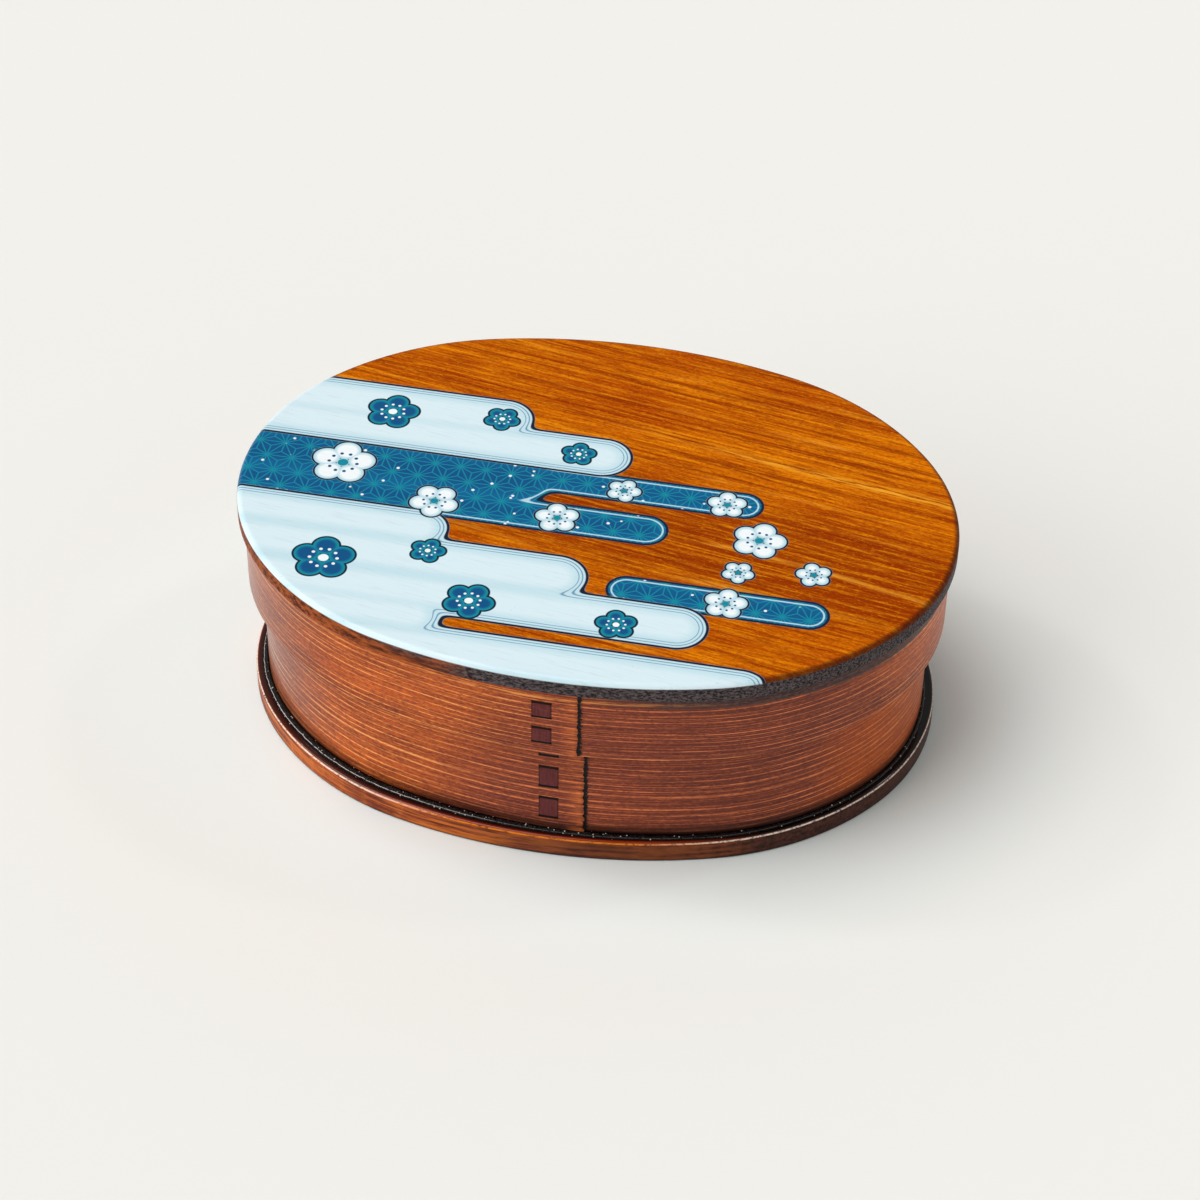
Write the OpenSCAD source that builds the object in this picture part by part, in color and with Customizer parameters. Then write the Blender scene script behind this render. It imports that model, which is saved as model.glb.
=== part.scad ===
// Oval bentwood lunch box. A bent wooden hoop, lapped and stitched with bark, stands in a groove
// of the base board. A lid made in the same way slides down over it and rests on its rim.

/* [Outline] */
// Length of the lid board, end to end
lid_l = 180; // [165:1:200]
// Width of the lid board, front to back
lid_w = 134; // [122:1:144]
// Radius of the outline's two ends
end_r = 58; // [50:1:62]

/* [Lid] */
// Thickness of the lid board
lid_board_t = 5; // [4:0.5:8]
// Rounding along the lid board's upper edge
lid_edge_r = 1.5; // [0.6:0.1:2.5]
// How far the lid board reaches beyond the lid hoop
lid_overhang = 1.6; // [0.6:0.1:4]
// Height of the lid hoop below the lid board
lid_skirt = 20.5; // [12:0.5:26]
// Gap between the lid hoop and the body hoop
lid_play = 1.1; // [1.1:0.1:2]

/* [Base and body] */
// Thickness of the base board
base_t = 6; // [4.5:0.5:10]
// Rounding along the base board's upper edge
base_edge_r = 1; // [0.5:0.1:1.6]
// How far the base board reaches beyond the body hoop
base_ledge = 3; // [2:0.1:6]
// Degrees by which the base board is turned on the hoop, as it was glued by hand
base_turn = 2; // [0:0.5:4]
// Height of the body hoop that shows between the base board and the lid
body_show = 28.5; // [18:0.5:45]
// Rounding along the lower edge of both boards
arris_r = 0.5; // [0.3:0.1:0.8]

/* [Hoops] */
// Thickness of both bent hoops
hoop_t = 2.5; // [2.2:0.1:4]
// Rounding along the hoops' free rims
rim_r = 0.8; // [0.3:0.1:1]
// Depth of the grooves that the hoops stand in
seat_depth = 1.5; // [0.8:0.1:2.5]
// Glue gap on each side of a hoop in its groove
glue_gap = 0.1; // [0.05:0.05:0.2]
// Size of the lacquer putty beads along the base joint
seam_size = 1; // [0.5:0.1:1.4]

/* [Laps] */
// Place of the lid hoop's outer end, to the right of the front's middle
lid_lap_x = 9; // [0:0.5:20]
// Place of the body hoop's outer end, to the right of the front's middle
body_lap_x = 10; // [0:0.5:20]
// Length over which a hoop's two ends lie on each other
lap_l = 30; // [24:1:36]
// How far the tapered ends stand proud of the hoop
lap_step = 0.5; // [0.2:0.1:0.5]

/* [Bark stitches] */
// Width of the bark strips
bark_w = 4.5; // [3:0.5:7]
// Thickness of the bark strips
bark_t = 0.6; // [0.4:0.1:0.8]
// How far the bark stands out of the bed pressed for it
bark_proud = 0.15; // [0.05:0.05:0.15]
// Gap around the bark in its bed and slits
bark_fit = 0.1; // [0.05:0.05:0.15]
// Distance from a lap's outer end back to the middle of its bark strip
bark_back = 8.5; // [6:0.5:14]
// Length of the bark's tucked ends on the inside
bark_tail = 1.5; // [1:0.1:2]
// Height of each stitch on the body
body_stitch_h = 6.7; // [4:0.1:9]
// Gap between the stitches on the body
body_stitch_gap = 3.5; // [2:0.1:5]
// Height of the body's lowest stitch above the base board
body_stitch_rise = 4.2; // [3:0.1:8]
// Height of each stitch on the lid
lid_stitch_h = 5.8; // [4:0.1:7]
// Gap between the stitches on the lid
lid_stitch_gap = 2.7; // [2:0.1:4]
// Height of the lid's lowest stitch above the lid hoop's rim
lid_stitch_rise = 2.9; // [2.7:0.1:6]

/* [Hidden] */
$fa = 2;
$fs = 0.4;

// Cutters run past the faces that they cut by this much
over = 1;

// The outline is eight arcs, which meet without a corner: two ends, four shoulders and two sides
half_l = lid_l / 2;
half_w = lid_w / 2;
// Directions in which an end meets a shoulder and a shoulder meets a side
end_way = [0.8, 0.6];
side_way = [0.28, 0.96];
// How much larger a shoulder's radius is than an end's, and a side's than a shoulder's
shoulder_more = 3.5 * half_w - 3 * end_r - 0.5 * half_l;
side_more = 5 * (half_l - 2 * half_w + end_r);
shoulder_r = end_r + shoulder_more;
side_r = shoulder_r + side_more;
// Centres of the right end, of the shoulder behind it and of the rear side
end_c = [half_l - end_r, 0];
shoulder_c = end_c - shoulder_more * end_way;
side_c = [0, half_w - side_r];

// How far each piece's outer face lies inside the lid board's outline
lid_hoop_in = lid_overhang;
body_hoop_in = lid_hoop_in + hoop_t + lid_play;
base_in = body_hoop_in - base_ledge;

// Heights above the underside of the base board
lid_rim_z = base_t + body_show;
lid_under_z = lid_rim_z + lid_skirt;

// The putty beads stay on the flat part of the ledge
seam = min(seam_size, (base_ledge - base_edge_r) / 2);

// A board is a swept edge of this width, filled in by a plain middle
edge_band = 12;
// Step of the middle's outline in degrees
middle_step = 6;
// Length of the wedges that the arcs are cut out of, well beyond the outline
wedge_l = 2 * side_r;

// Angle in degrees that a length spans on an arc
function arc_angle(length, radius) = length / radius * 180 / PI;

// A point mirrored to the left side
function leftward(v) = [-v[0], v[1]];

// The outline's arcs in order: centre, radius, and the directions in which each begins and ends
outline_arcs = [
  [end_c, end_r, -leftward(end_way), end_way],
  [shoulder_c, shoulder_r, end_way, side_way],
  [side_c, side_r, side_way, leftward(side_way)],
  [leftward(shoulder_c), shoulder_r, leftward(side_way), leftward(end_way)],
  [-end_c, end_r, leftward(end_way), -end_way],
  [-shoulder_c, shoulder_r, -end_way, -side_way],
  [-side_c, side_r, -side_way, -leftward(side_way)],
  [-leftward(shoulder_c), shoulder_r, -leftward(side_way), -leftward(end_way)]];

// Points around the outline, drawn in by an inset
function outline_points(inset) = [
  for (arc = outline_arcs)
    let (first = atan2(arc[2][1], arc[2][0]), turn = acos(arc[2] * arc[3]))
      let (steps = ceil(turn / middle_step))
        for (i = [0 : steps - 1])
          let (a = first + turn * i / steps)
            arc[0] + (arc[1] - inset) * [cos(a), sin(a)]];

// Sweeps a section around the outline, each arc in its own wedge. In the section, X is 0 on the lid
// board's outline and negative inside it, and Y is the height.
module along_outline() {
  for (arc = outline_arcs)
    intersection() {
      translate([0, 0, -over])
        linear_extrude(lid_under_z + lid_board_t + 2 * over)
          polygon([arc[0], arc[0] + wedge_l * arc[2], arc[0] + wedge_l * arc[3]]);
      translate(arc[0])
        rotate_extrude()
          translate([arc[1], 0])
            children();
    }
}

// What a rounding takes off the upper right corner of a section that ends at the origin
module corner_waste(r) {
  translate([-r, -r])
    difference() {
      square(r + over);
      circle(r);
    }
}

// An oval board that stands on Z = 0, rounded along its upper and lower edges. A child is cut out of
// the section of its edge.
module board(inset, thickness, upper_r) {
  along_outline()
    translate([-inset, 0])
      difference() {
        translate([-edge_band, 0])
          square([edge_band, thickness]);
        translate([0, thickness])
          corner_waste(upper_r);
        mirror([0, 1])
          corner_waste(arris_r);
        children();
      }
  linear_extrude(thickness)
    polygon(outline_points(inset + edge_band / 2));
}

// Section of the groove that a hoop stands in, between two heights
module groove_section(inset, low, high) {
  translate([-inset - hoop_t - glue_gap, low])
    square([hoop_t + 2 * glue_gap, high - low]);
}

// The bent wall of a hoop. Its free rim is rounded on both sides, at the top or at the bottom.
module hoop_wall(inset, low, high, rim_on_top) {
  along_outline()
    translate([-inset - hoop_t / 2, rim_on_top ? high : low])
      mirror([0, rim_on_top ? 0 : 1])
        difference() {
          translate([-hoop_t / 2, low - high])
            square([hoop_t, high - low]);
          translate([hoop_t / 2, 0])
            corner_waste(rim_r);
          mirror([1, 0])
            translate([hoop_t / 2, 0])
              corner_waste(rim_r);
        }
}

// Turns about the centre of the front side, so that a hoop's outer end lies straight in front
module at_lap(outer_r, lap_x) {
  translate(-side_c)
    rotate([0, 0, asin(lap_x / outer_r)])
      children();
}

// A circle about the centre of the front side, tilted about a point of its rim until it stands
// proud by one step at one lap's length from there
module tilted_face(radius, rim_angle) {
  rim = radius * [-sin(rim_angle), -cos(rim_angle)];
  translate(rim)
    rotate(-asin(lap_step / lap_l))
      translate(-rim)
        circle(radius);
}

// The two tapered ends of a hoop: one ends in a step outside, the other in a step inside
module lap_ends(inset, lap_x, low, high) {
  outer_r = side_r - inset;
  inner_r = outer_r - hoop_t;
  at_lap(outer_r, lap_x)
    translate([0, 0, low])
      linear_extrude(high - low)
        intersection() {
          translate([-lap_l, -outer_r - over])
            square([lap_l, outer_r]);
          difference() {
            tilted_face(outer_r, arc_angle(lap_l, outer_r));
            tilted_face(inner_r, 0);
          }
        }
}

// One block of bark: how far its two faces lie from the centre of the front side, and its heights
module bark_block(near, far, low, high, gap) {
  translate([-bark_w / 2 - gap, -far - gap, low - gap])
    cube([bark_w + 2 * gap, far - near + 2 * gap, high - low + 2 * gap]);
}

// A strip of bark in a running stitch: out through a slit, up the face, in again, up the inside
module bark_strip(inset, lap_x, first_z, count, stitch_h, stitch_gap, gap) {
  outer_r = side_r - inset;
  taken_up = bark_back / lap_l;
  front = outer_r + lap_step * (1 - taken_up) + bark_proud;
  rear = outer_r - hoop_t - lap_step * taken_up - bark_proud;
  at_lap(outer_r, lap_x)
    rotate([0, 0, -arc_angle(bark_back, outer_r)])
      for (i = [0 : count - 1])
        translate([0, 0, first_z + i * (stitch_h + stitch_gap)]) {
          inside_top = i < count - 1 ? stitch_gap + bark_t : bark_tail;
          bark_block(front - bark_t, front, 0, stitch_h, gap);
          bark_block(rear, front, 0, bark_t, gap);
          bark_block(rear, front, stitch_h - bark_t, stitch_h, gap);
          bark_block(rear, rear + bark_t, stitch_h - bark_t, stitch_h + inside_top, gap);
          if (i == 0)
            bark_block(rear, rear + bark_t, -bark_tail, bark_t, gap);
        }
}

// Number of stitches that fit in a height, with the same margin at both ends
function stitch_count(height, margin, stitch_h, stitch_gap) =
  max(1, floor((height - 2 * margin + stitch_gap) / (stitch_h + stitch_gap)));

// The body's bark strip, or the room for it
module body_bark(gap) {
  bark_strip(body_hoop_in, body_lap_x, base_t + body_stitch_rise,
    stitch_count(lid_under_z - base_t, body_stitch_rise, body_stitch_h, body_stitch_gap),
    body_stitch_h, body_stitch_gap, gap);
}

// The lid's bark strip, or the room for it
module lid_bark(gap) {
  bark_strip(lid_hoop_in, lid_lap_x, lid_rim_z + lid_stitch_rise,
    stitch_count(lid_skirt, lid_stitch_rise, lid_stitch_h, lid_stitch_gap),
    lid_stitch_h, lid_stitch_gap, gap);
}

// The base board, with a ledge all round and the groove that the body hoop stands in
module base_board() {
  color("sienna")
    difference() {
      rotate([0, 0, base_turn])
        board(base_in, base_t, base_edge_r);
      along_outline()
        groove_section(body_hoop_in, base_t - seat_depth, base_t + over);
    }
}

// The body hoop, from the base board's groove up to the underside of the lid board
module body_hoop() {
  color("saddlebrown")
    difference() {
      union() {
        hoop_wall(body_hoop_in, base_t - seat_depth, lid_under_z, true);
        lap_ends(body_hoop_in, body_lap_x, base_t + seam, lid_under_z - rim_r);
      }
      body_bark(bark_fit);
    }
}

// The bark strip that sews the body hoop's lap
module body_bark_stitch() {
  color("#4a2a24")
    body_bark(0);
}

// Section of a bead of lacquer putty in the corner of a wall and a floor
module bead_section() {
  intersection() {
    square(seam);
    circle(seam);
  }
}

// The bead of lacquer putty between the body hoop and the ledge
module outer_seam_bead() {
  color("#1e0f0a")
    along_outline()
      translate([-body_hoop_in + glue_gap, base_t])
        bead_section();
}

// The bead of lacquer putty in the corner between the body hoop and the floor
module inner_seam_bead() {
  color("#1e0f0a")
    along_outline()
      translate([-body_hoop_in - hoop_t - glue_gap, base_t])
        mirror([1, 0])
          bead_section();
}

// The lid board, with the groove that the lid hoop stands in
module lid_board() {
  color("chocolate")
    translate([0, 0, lid_under_z])
      board(0, lid_board_t, lid_edge_r)
        groove_section(lid_hoop_in, -over, seat_depth);
}

// The lid hoop, from its free rim up into the lid board's groove
module lid_hoop() {
  color("saddlebrown")
    difference() {
      union() {
        hoop_wall(lid_hoop_in, lid_rim_z, lid_under_z + seat_depth, false);
        lap_ends(lid_hoop_in, lid_lap_x, lid_rim_z + rim_r, lid_under_z);
      }
      lid_bark(bark_fit);
    }
}

// The bark strip that sews the lid hoop's lap
module lid_bark_stitch() {
  color("#4a2a24")
    lid_bark(0);
}

base_board();
body_hoop();
body_bark_stitch();
outer_seam_bead();
inner_seam_bead();
lid_board();
lid_hoop();
lid_bark_stitch();
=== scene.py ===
import math

import bmesh
import bpy
from mathutils import Matrix, Vector, noise


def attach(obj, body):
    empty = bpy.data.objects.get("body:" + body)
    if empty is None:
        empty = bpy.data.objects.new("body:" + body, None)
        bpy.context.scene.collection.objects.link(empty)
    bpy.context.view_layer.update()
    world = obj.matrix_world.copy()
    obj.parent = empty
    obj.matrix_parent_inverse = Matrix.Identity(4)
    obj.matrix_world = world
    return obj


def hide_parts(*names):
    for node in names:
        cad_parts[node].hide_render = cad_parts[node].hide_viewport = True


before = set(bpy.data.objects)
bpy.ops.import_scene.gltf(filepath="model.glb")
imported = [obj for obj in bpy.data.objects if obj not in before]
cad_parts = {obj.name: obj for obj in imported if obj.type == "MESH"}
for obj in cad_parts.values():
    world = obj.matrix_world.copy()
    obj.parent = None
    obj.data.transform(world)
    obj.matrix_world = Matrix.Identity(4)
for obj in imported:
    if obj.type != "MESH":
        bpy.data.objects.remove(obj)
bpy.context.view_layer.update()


# Base board: a solid oval of stained cedar, its edges rounded over by hand. The body hoop is glued
# into a groove in it, turned a little, so a ledge of uneven width is left all round. The last
# coats of lacquer have pooled dark on that ledge and at the hoop's foot. On the ledge, painted
# light gives the pool an orange glow near its outer edge, except at the far left, and painted
# shade turns it black towards the hoop and at the right end. A painted highlight runs along the
# ledge's rounded edge, painted shade darkens the side at the front and the right end, and a
# painted contact shadow runs along its foot.

mm = 0.001
base_inset = 2.2
base_height = 6.0
base_turn = math.radians(2)
end_radius, shoulder_radius, side_radius = 58.0, 73.5, 143.5
end_centre, shoulder_centre, side_centre = (32.0, 0.0), (19.6, 9.3), (0.0, 76.5)


def oval_arc(facing):
    """Centre and radius of the arc of the box's oval that faces this way."""
    run, rise = math.cos(facing), math.sin(facing)
    if abs(run) > 0.8:
        (x, y), radius = end_centre, end_radius
    elif abs(run) > 0.28:
        (x, y), radius = shoulder_centre, shoulder_radius
    else:
        (x, y), radius = side_centre, side_radius
    return math.copysign(x, run), -math.copysign(y, rise), radius


def oval_point(facing, inset):
    """Place on the oval that faces this way, drawn in by an inset."""
    x, y, radius = oval_arc(facing)
    return x + (radius - inset) * math.cos(facing), y + (radius - inset) * math.sin(facing)


def oval_walk(start, stops):
    """Directions faced after walking each of these distances round the oval, and its length."""
    steps = 14400
    turn = 2 * math.pi / steps
    walked = [0.0]
    for i in range(steps):
        walked.append(walked[-1] + oval_arc(start + (i + 0.5) * turn)[2] * turn)
    facings, i = [], 0
    for stop in stops(walked[-1]):
        while i < steps - 1 and walked[i + 1] <= stop:
            i += 1
        part = (stop - walked[i]) / (walked[i + 1] - walked[i])
        facings.append((start + (i + part) * turn, stop))
    return facings, walked[-1]


def even_stops(spacing):
    """Stops at an even spacing, the last one short of the start."""
    return lambda length: [length * i / round(length / spacing) for i in range(round(length / spacing))]


def round_over(centre_inset, centre_height, radius, first, last, steps):
    """Points of a rounded edge, as insets and heights, between two angles from straight out."""
    points = []
    for i in range(steps + 1):
        angle = math.radians(first + (last - first) * i / steps)
        points.append((centre_inset - radius * math.cos(angle), centre_height + radius * math.sin(angle)))
    return points


def keep_piece(name, bm, material, body, slot, *nodes):
    """Turns a finished mesh into a piece that rides on a body and stands for its nodes."""
    bmesh.ops.remove_doubles(bm, verts=bm.verts, dist=1e-8)
    bmesh.ops.recalc_face_normals(bm, faces=bm.faces)
    mesh = bpy.data.meshes.new(name)
    bm.to_mesh(mesh)
    bm.free()
    mesh.polygons.foreach_set("use_smooth", [True] * len(mesh.polygons))
    mesh.materials.append(material)
    piece = bpy.data.objects.new(name, mesh)
    bpy.context.collection.objects.link(piece)
    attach(piece, body)
    if nodes:
        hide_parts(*nodes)


def sawn_board(profile, turn):
    """A closed oval board: a profile of insets and heights, from underside to top, led round it."""
    bm = bmesh.new()
    edge_in = bm.verts.layers.float.new("edge_in")
    stations, _ = oval_walk(math.pi / 2, even_stops(1.6))
    rings = []
    for inset, height in profile:
        ring = []
        for facing, _ in stations:
            x, y = oval_point(facing, inset)
            vert = bm.verts.new((
                (x * math.cos(turn) - y * math.sin(turn)) * mm,
                (x * math.sin(turn) + y * math.cos(turn)) * mm, height * mm))
            vert[edge_in] = inset
            ring.append(vert)
        rings.append(ring)
    for low, high in zip(rings, rings[1:]):
        for i in range(len(low)):
            j = (i + 1) % len(low)
            bm.faces.new((low[i], low[j], high[j], high[i]))
    bm.faces.new(rings[0][::-1])
    bm.faces.new(rings[-1])
    return bm


def add(tree, kind, settings=None, **inputs):
    """One node of a material, with its settings and its inputs, which are values or sockets."""
    made = tree.nodes.new(kind)
    for name, value in (settings or {}).items():
        setattr(made, name, value)
    for name, value in inputs.items():
        numbered = name.startswith("in") and name[2:].isdigit()
        socket = made.inputs[int(name[2:]) if numbered else name.replace("_", " ")]
        if isinstance(value, bpy.types.NodeSocket):
            tree.links.new(value, socket)
        else:
            socket.default_value = value
    return made


def calc(tree, operation, *values, clamp=False):
    """The result of one sum on values or sockets."""
    return add(tree, "ShaderNodeMath", {"operation": operation, "use_clamp": clamp},
               **{f"in{i}": value for i, value in enumerate(values)}).outputs[0]


def place_sum(tree, operation, *values, **named):
    """The result of one sum on places, which is a place too, or a length."""
    made = add(tree, "ShaderNodeVectorMath", {"operation": operation}, **named,
               **{f"in{i}": value for i, value in enumerate(values)})
    return made.outputs["Value" if operation == "LENGTH" else "Vector"]


def three_ways(tree, place):
    """A place's three coordinates."""
    return add(tree, "ShaderNodeSeparateXYZ", in0=place).outputs


def stretched_noise(tree, place, stretch, detail, roughness=0.5):
    """Noise at a place, by its features in a metre each way."""
    return add(tree, "ShaderNodeTexNoise", Vector=place_sum(tree, "MULTIPLY", place, stretch),
               Scale=1.0, Detail=detail, Roughness=roughness).outputs[0]


def ramp_up(tree, value, low, high):
    """0 below low, 1 above high, with a smooth rise between them."""
    return add(tree, "ShaderNodeMapRange", {"interpolation_type": "SMOOTHSTEP"}, Value=value,
               From_Min=low, From_Max=high, To_Min=0.0, To_Max=1.0).outputs[0]


def blend(tree, amount, under, over):
    """One colour laid over another by an amount."""
    made = add(tree, "ShaderNodeMix", {"data_type": "RGBA"}, in0=amount)
    for socket, value in ((made.inputs[6], under), (made.inputs[7], over)):
        if isinstance(value, bpy.types.NodeSocket):
            tree.links.new(value, socket)
        else:
            socket.default_value = value
    return made.outputs[2]


def stain(red, green, blue):
    """A colour as a screen shows it, 0 to 255, turned into light."""
    def light(part):
        part /= 255
        return part / 12.92 if part <= 0.04045 else ((part + 0.055) / 1.055) ** 2.4
    return light(red), light(green), light(blue), 1.0


def new_group(name, places, values, results):
    """An empty shader group that takes places and values and gives values, all with names."""
    group = bpy.data.node_groups.new(name, "ShaderNodeTree")
    for way, kind, sockets in (("INPUT", "NodeSocketVector", places), ("INPUT", "NodeSocketFloat", values),
                               ("OUTPUT", "NodeSocketFloat", results)):
        for socket in sockets:
            group.interface.new_socket(socket, in_out=way, socket_type=kind)
    return group, group.nodes.new("NodeGroupInput").outputs, group.nodes.new("NodeGroupOutput").inputs


# Straight-grained cedar: thin growth lines that take the stain less, fibres, cloudy patches where
# the stain took unevenly, and fine pores. The grain runs along the place's first axis.
cedar, given, result = new_group(
    "cedar_grain", ["Place"], ["Line gap", "Line share", "Waver"], ["Lines", "Fibres", "Clouds", "Pores"])
fibres = stretched_noise(cedar, given["Place"], (100.0, 1300.0, 900.0), 4.0, 0.68)
cedar.links.new(fibres, result["Fibres"])
clouds = stretched_noise(cedar, given["Place"], (22.0, 60.0, 60.0), 3.0, 0.55)
cedar.links.new(clouds, result["Clouds"])
pores = stretched_noise(cedar, given["Place"], (800.0, 2100.0, 2100.0), 2.0, 0.7)
cedar.links.new(pores, result["Pores"])
place = three_ways(cedar, given["Place"])
wander = calc(cedar, "SUBTRACT", stretched_noise(cedar, given["Place"], (9.0, 30.0, 30.0), 2.0), 0.5)
across = calc(cedar, "ADD", place[1], calc(cedar, "MULTIPLY", wander, given["Waver"]))
ring = calc(cedar, "DIVIDE", across, given["Line gap"])
uneven = add(cedar, "ShaderNodeTexNoise", {"noise_dimensions": "1D"}, W=ring, Scale=0.37,
             Detail=2.0).outputs[0]
ring = calc(cedar, "ADD", ring, calc(cedar, "MULTIPLY", uneven, 1.3))
phase = calc(cedar, "DIVIDE", calc(cedar, "FRACT", ring), given["Line share"])
line = calc(cedar, "SUBTRACT", ramp_up(cedar, phase, 0.0, 0.5), ramp_up(cedar, phase, 0.5, 1.3))
ring_number = calc(cedar, "MULTIPLY", calc(cedar, "FLOOR", ring), 7.31)
one_ring = add(cedar, "ShaderNodeCombineXYZ", X=place[0], Y=ring_number, Z=0.0).outputs[0]
strength = ramp_up(cedar, stretched_noise(cedar, one_ring, (16.0, 1.0, 1.0), 2.0), 0.26, 0.60)
broken = calc(cedar, "ADD", 0.45, ramp_up(cedar, fibres, 0.60, 0.40))
line = calc(cedar, "MULTIPLY", line, calc(cedar, "MULTIPLY", strength, broken), clamp=True)
cedar.links.new(line, result["Lines"])


def lacquered(name, roughness, gloss, coat, coat_roughness):
    """A new material with a lacquered surface, its tree and its surface's inputs."""
    material = bpy.data.materials.new(name)
    material.use_nodes = True
    surface = material.node_tree.nodes["Principled BSDF"]
    surface.inputs["Roughness"].default_value = roughness
    surface.inputs["Specular IOR Level"].default_value = gloss
    surface.inputs["Coat Weight"].default_value = coat
    surface.inputs["Coat Roughness"].default_value = coat_roughness
    return material, material.node_tree, surface.inputs


def cedar_in(tree, place, line_gap, line_share, waver):
    """The grain's masks at a place."""
    grain = tree.nodes.new("ShaderNodeGroup")
    grain.node_tree = cedar
    tree.links.new(place, grain.inputs["Place"])
    for name, value in (("Line gap", line_gap), ("Line share", line_share), ("Waver", waver)):
        grain.inputs[name].default_value = value
    return grain.outputs


def partly(tree, mask, share):
    """A mask at part of its strength."""
    return calc(tree, "MULTIPLY", mask, share)


def left_over(tree, mask):
    """What a mask leaves free."""
    return calc(tree, "SUBTRACT", 1.0, mask)


def raise_by(tree, surface, height, distance, strength=1.0):
    """Fine relief on a surface."""
    bump = add(tree, "ShaderNodeBump", Height=height, Distance=distance, Strength=strength)
    tree.links.new(bump.outputs[0], surface["Normal"])


base_cedar, tree, surface = lacquered("base_cedar", 0.32, 0.12, 0.2, 0.06)
where = add(tree, "ShaderNodeTexCoord").outputs["Object"]
spots = three_ways(tree, where)
height = calc(tree, "DIVIDE", spots[2], mm)
inset = add(tree, "ShaderNodeAttribute", {"attribute_name": "edge_in"}).outputs["Fac"]
from_edge = calc(tree, "SUBTRACT", inset, base_inset)
grain = cedar_in(tree, where, 0.0030, 0.3, 0.006)
wood = blend(tree, ramp_up(tree, grain["Clouds"], 0.3, 0.7), stain(126, 56, 32), stain(176, 84, 38))
wood = blend(tree, partly(tree, grain["Lines"], 0.6), wood, stain(216, 118, 50))
wood = blend(tree, partly(tree, ramp_up(tree, grain["Fibres"], 0.46, 0.70), 0.6), wood, stain(84, 36, 26))
on_side = left_over(tree, ramp_up(tree, from_edge, 0.3, 0.7))
streaks = stretched_noise(tree, where, (55.0, 55.0, 1100.0), 4.0, 0.6)
pale_streak = calc(tree, "MULTIPLY", on_side, ramp_up(tree, streaks, 0.57, 0.40))
wood = blend(tree, partly(tree, pale_streak, 0.85), wood, stain(216, 114, 34))
dark_streak = calc(tree, "MULTIPLY", on_side, ramp_up(tree, streaks, 0.52, 0.64))
wood = blend(tree, partly(tree, dark_streak, 0.8), wood, stain(96, 34, 14))
# Painted shade: the side is darker at the front and at the right end.
side_shade_colour = blend(tree, ramp_up(tree, grain["Fibres"], 0.62, 0.40), stain(22, 11, 10), stain(70, 36, 30))
front = partly(tree, ramp_up(tree, spots[0], -0.035, 0.015), 0.74)
right_end = ramp_up(tree, spots[0], 0.02, 0.055)
painted_side_shade = calc(tree, "MULTIPLY", on_side, calc(tree, "MAXIMUM", front, partly(tree, right_end, 0.95)))
wood = blend(tree, painted_side_shade, wood, side_shade_colour)
# Painted contact shadow: a dark line along the bottom of the side.
painted_contact_shadow = calc(tree, "MULTIPLY", on_side, left_over(tree, ramp_up(tree, height, 0.25, 1.0)))
wood = blend(tree, partly(tree, painted_contact_shadow, 0.75), wood, stain(20, 10, 9))
on_top = ramp_up(tree, height, base_height - 0.6, base_height - 0.3)
pool_inside = left_over(tree, ramp_up(tree, inset, 7.2, 9.5))
# Pooled lacquer on the ledge, with painted light and shade: an orange glow near the outer edge, except at the
# far left, and black towards the hoop and at the right end.
to_left = left_over(tree, ramp_up(tree, spots[0], -0.055, -0.02))
pool_glow_colour = blend(tree, to_left, stain(150, 48, 4), stain(66, 28, 18))
ledge_pool_and_shade = blend(tree, ramp_up(tree, from_edge, 0.4, 1.2), pool_glow_colour, stain(58, 13, 6))
ledge_pool_and_shade = blend(tree, calc(tree, "MAXIMUM", ramp_up(tree, from_edge, 1.0, 2.2), right_end), ledge_pool_and_shade, stain(9, 3, 3))
pool_edge = ramp_up(tree, from_edge, 0.25, 0.50)
pooled_and_shaded = calc(tree, "MULTIPLY", on_top, calc(tree, "MULTIPLY", pool_inside, pool_edge))
wood = blend(tree, pooled_and_shaded, wood, ledge_pool_and_shade)
# Painted highlight along the ledge's rounded outer edge: pale at the ends, orange at the front.
edge_highlight_and_print_wear = calc(tree, "MULTIPLY", ramp_up(tree, height, base_height - 0.75, base_height - 0.55),
              left_over(tree, ramp_up(tree, from_edge, 0.20, 0.36)))
at_ends = calc(tree, "MAXIMUM", right_end, to_left)
highlight_and_bare_fibres = blend(tree, at_ends, stain(230, 126, 14), stain(246, 222, 206))
edge_highlight_and_print_wear = calc(tree, "MULTIPLY", edge_highlight_and_print_wear, ramp_up(tree, grain["Pores"], 0.30, 0.55))
wood = blend(tree, edge_highlight_and_print_wear, wood, highlight_and_bare_fibres)
tree.links.new(wood, surface["Base Color"])
glazed = calc(tree, "MAXIMUM", pooled_and_shaded, ramp_up(tree, height, base_height - 0.8, base_height - 0.3))
tree.links.new(calc(tree, "SUBTRACT", 0.45, partly(tree, glazed, 0.33)), surface["Roughness"])
tree.links.new(calc(tree, "ADD", 0.03, partly(tree, glazed, 0.37)), surface["Coat Weight"])
raise_by(tree, surface, grain["Pores"], 0.00005, 0.5)

board_profile = [(24.0, 0.0), (8.0, 0.0), (base_inset + 0.9, 0.0)]
board_profile += round_over(base_inset + 0.5, 0.5, 0.5, -90, 0, 4)
board_profile += [(base_inset, 0.9), (base_inset, base_height - 1.3)]
board_profile += round_over(base_inset + 1.0, base_height - 1.0, 1.0, 0, 90, 8)
board_profile += [(inwards, base_height) for inwards in (base_inset + 1.3, 7.0, 10.0, 24.0)]
keep_piece("base_board", sawn_board(board_profile, base_turn), base_cedar, "body", "base_wood", "base_board")


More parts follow.
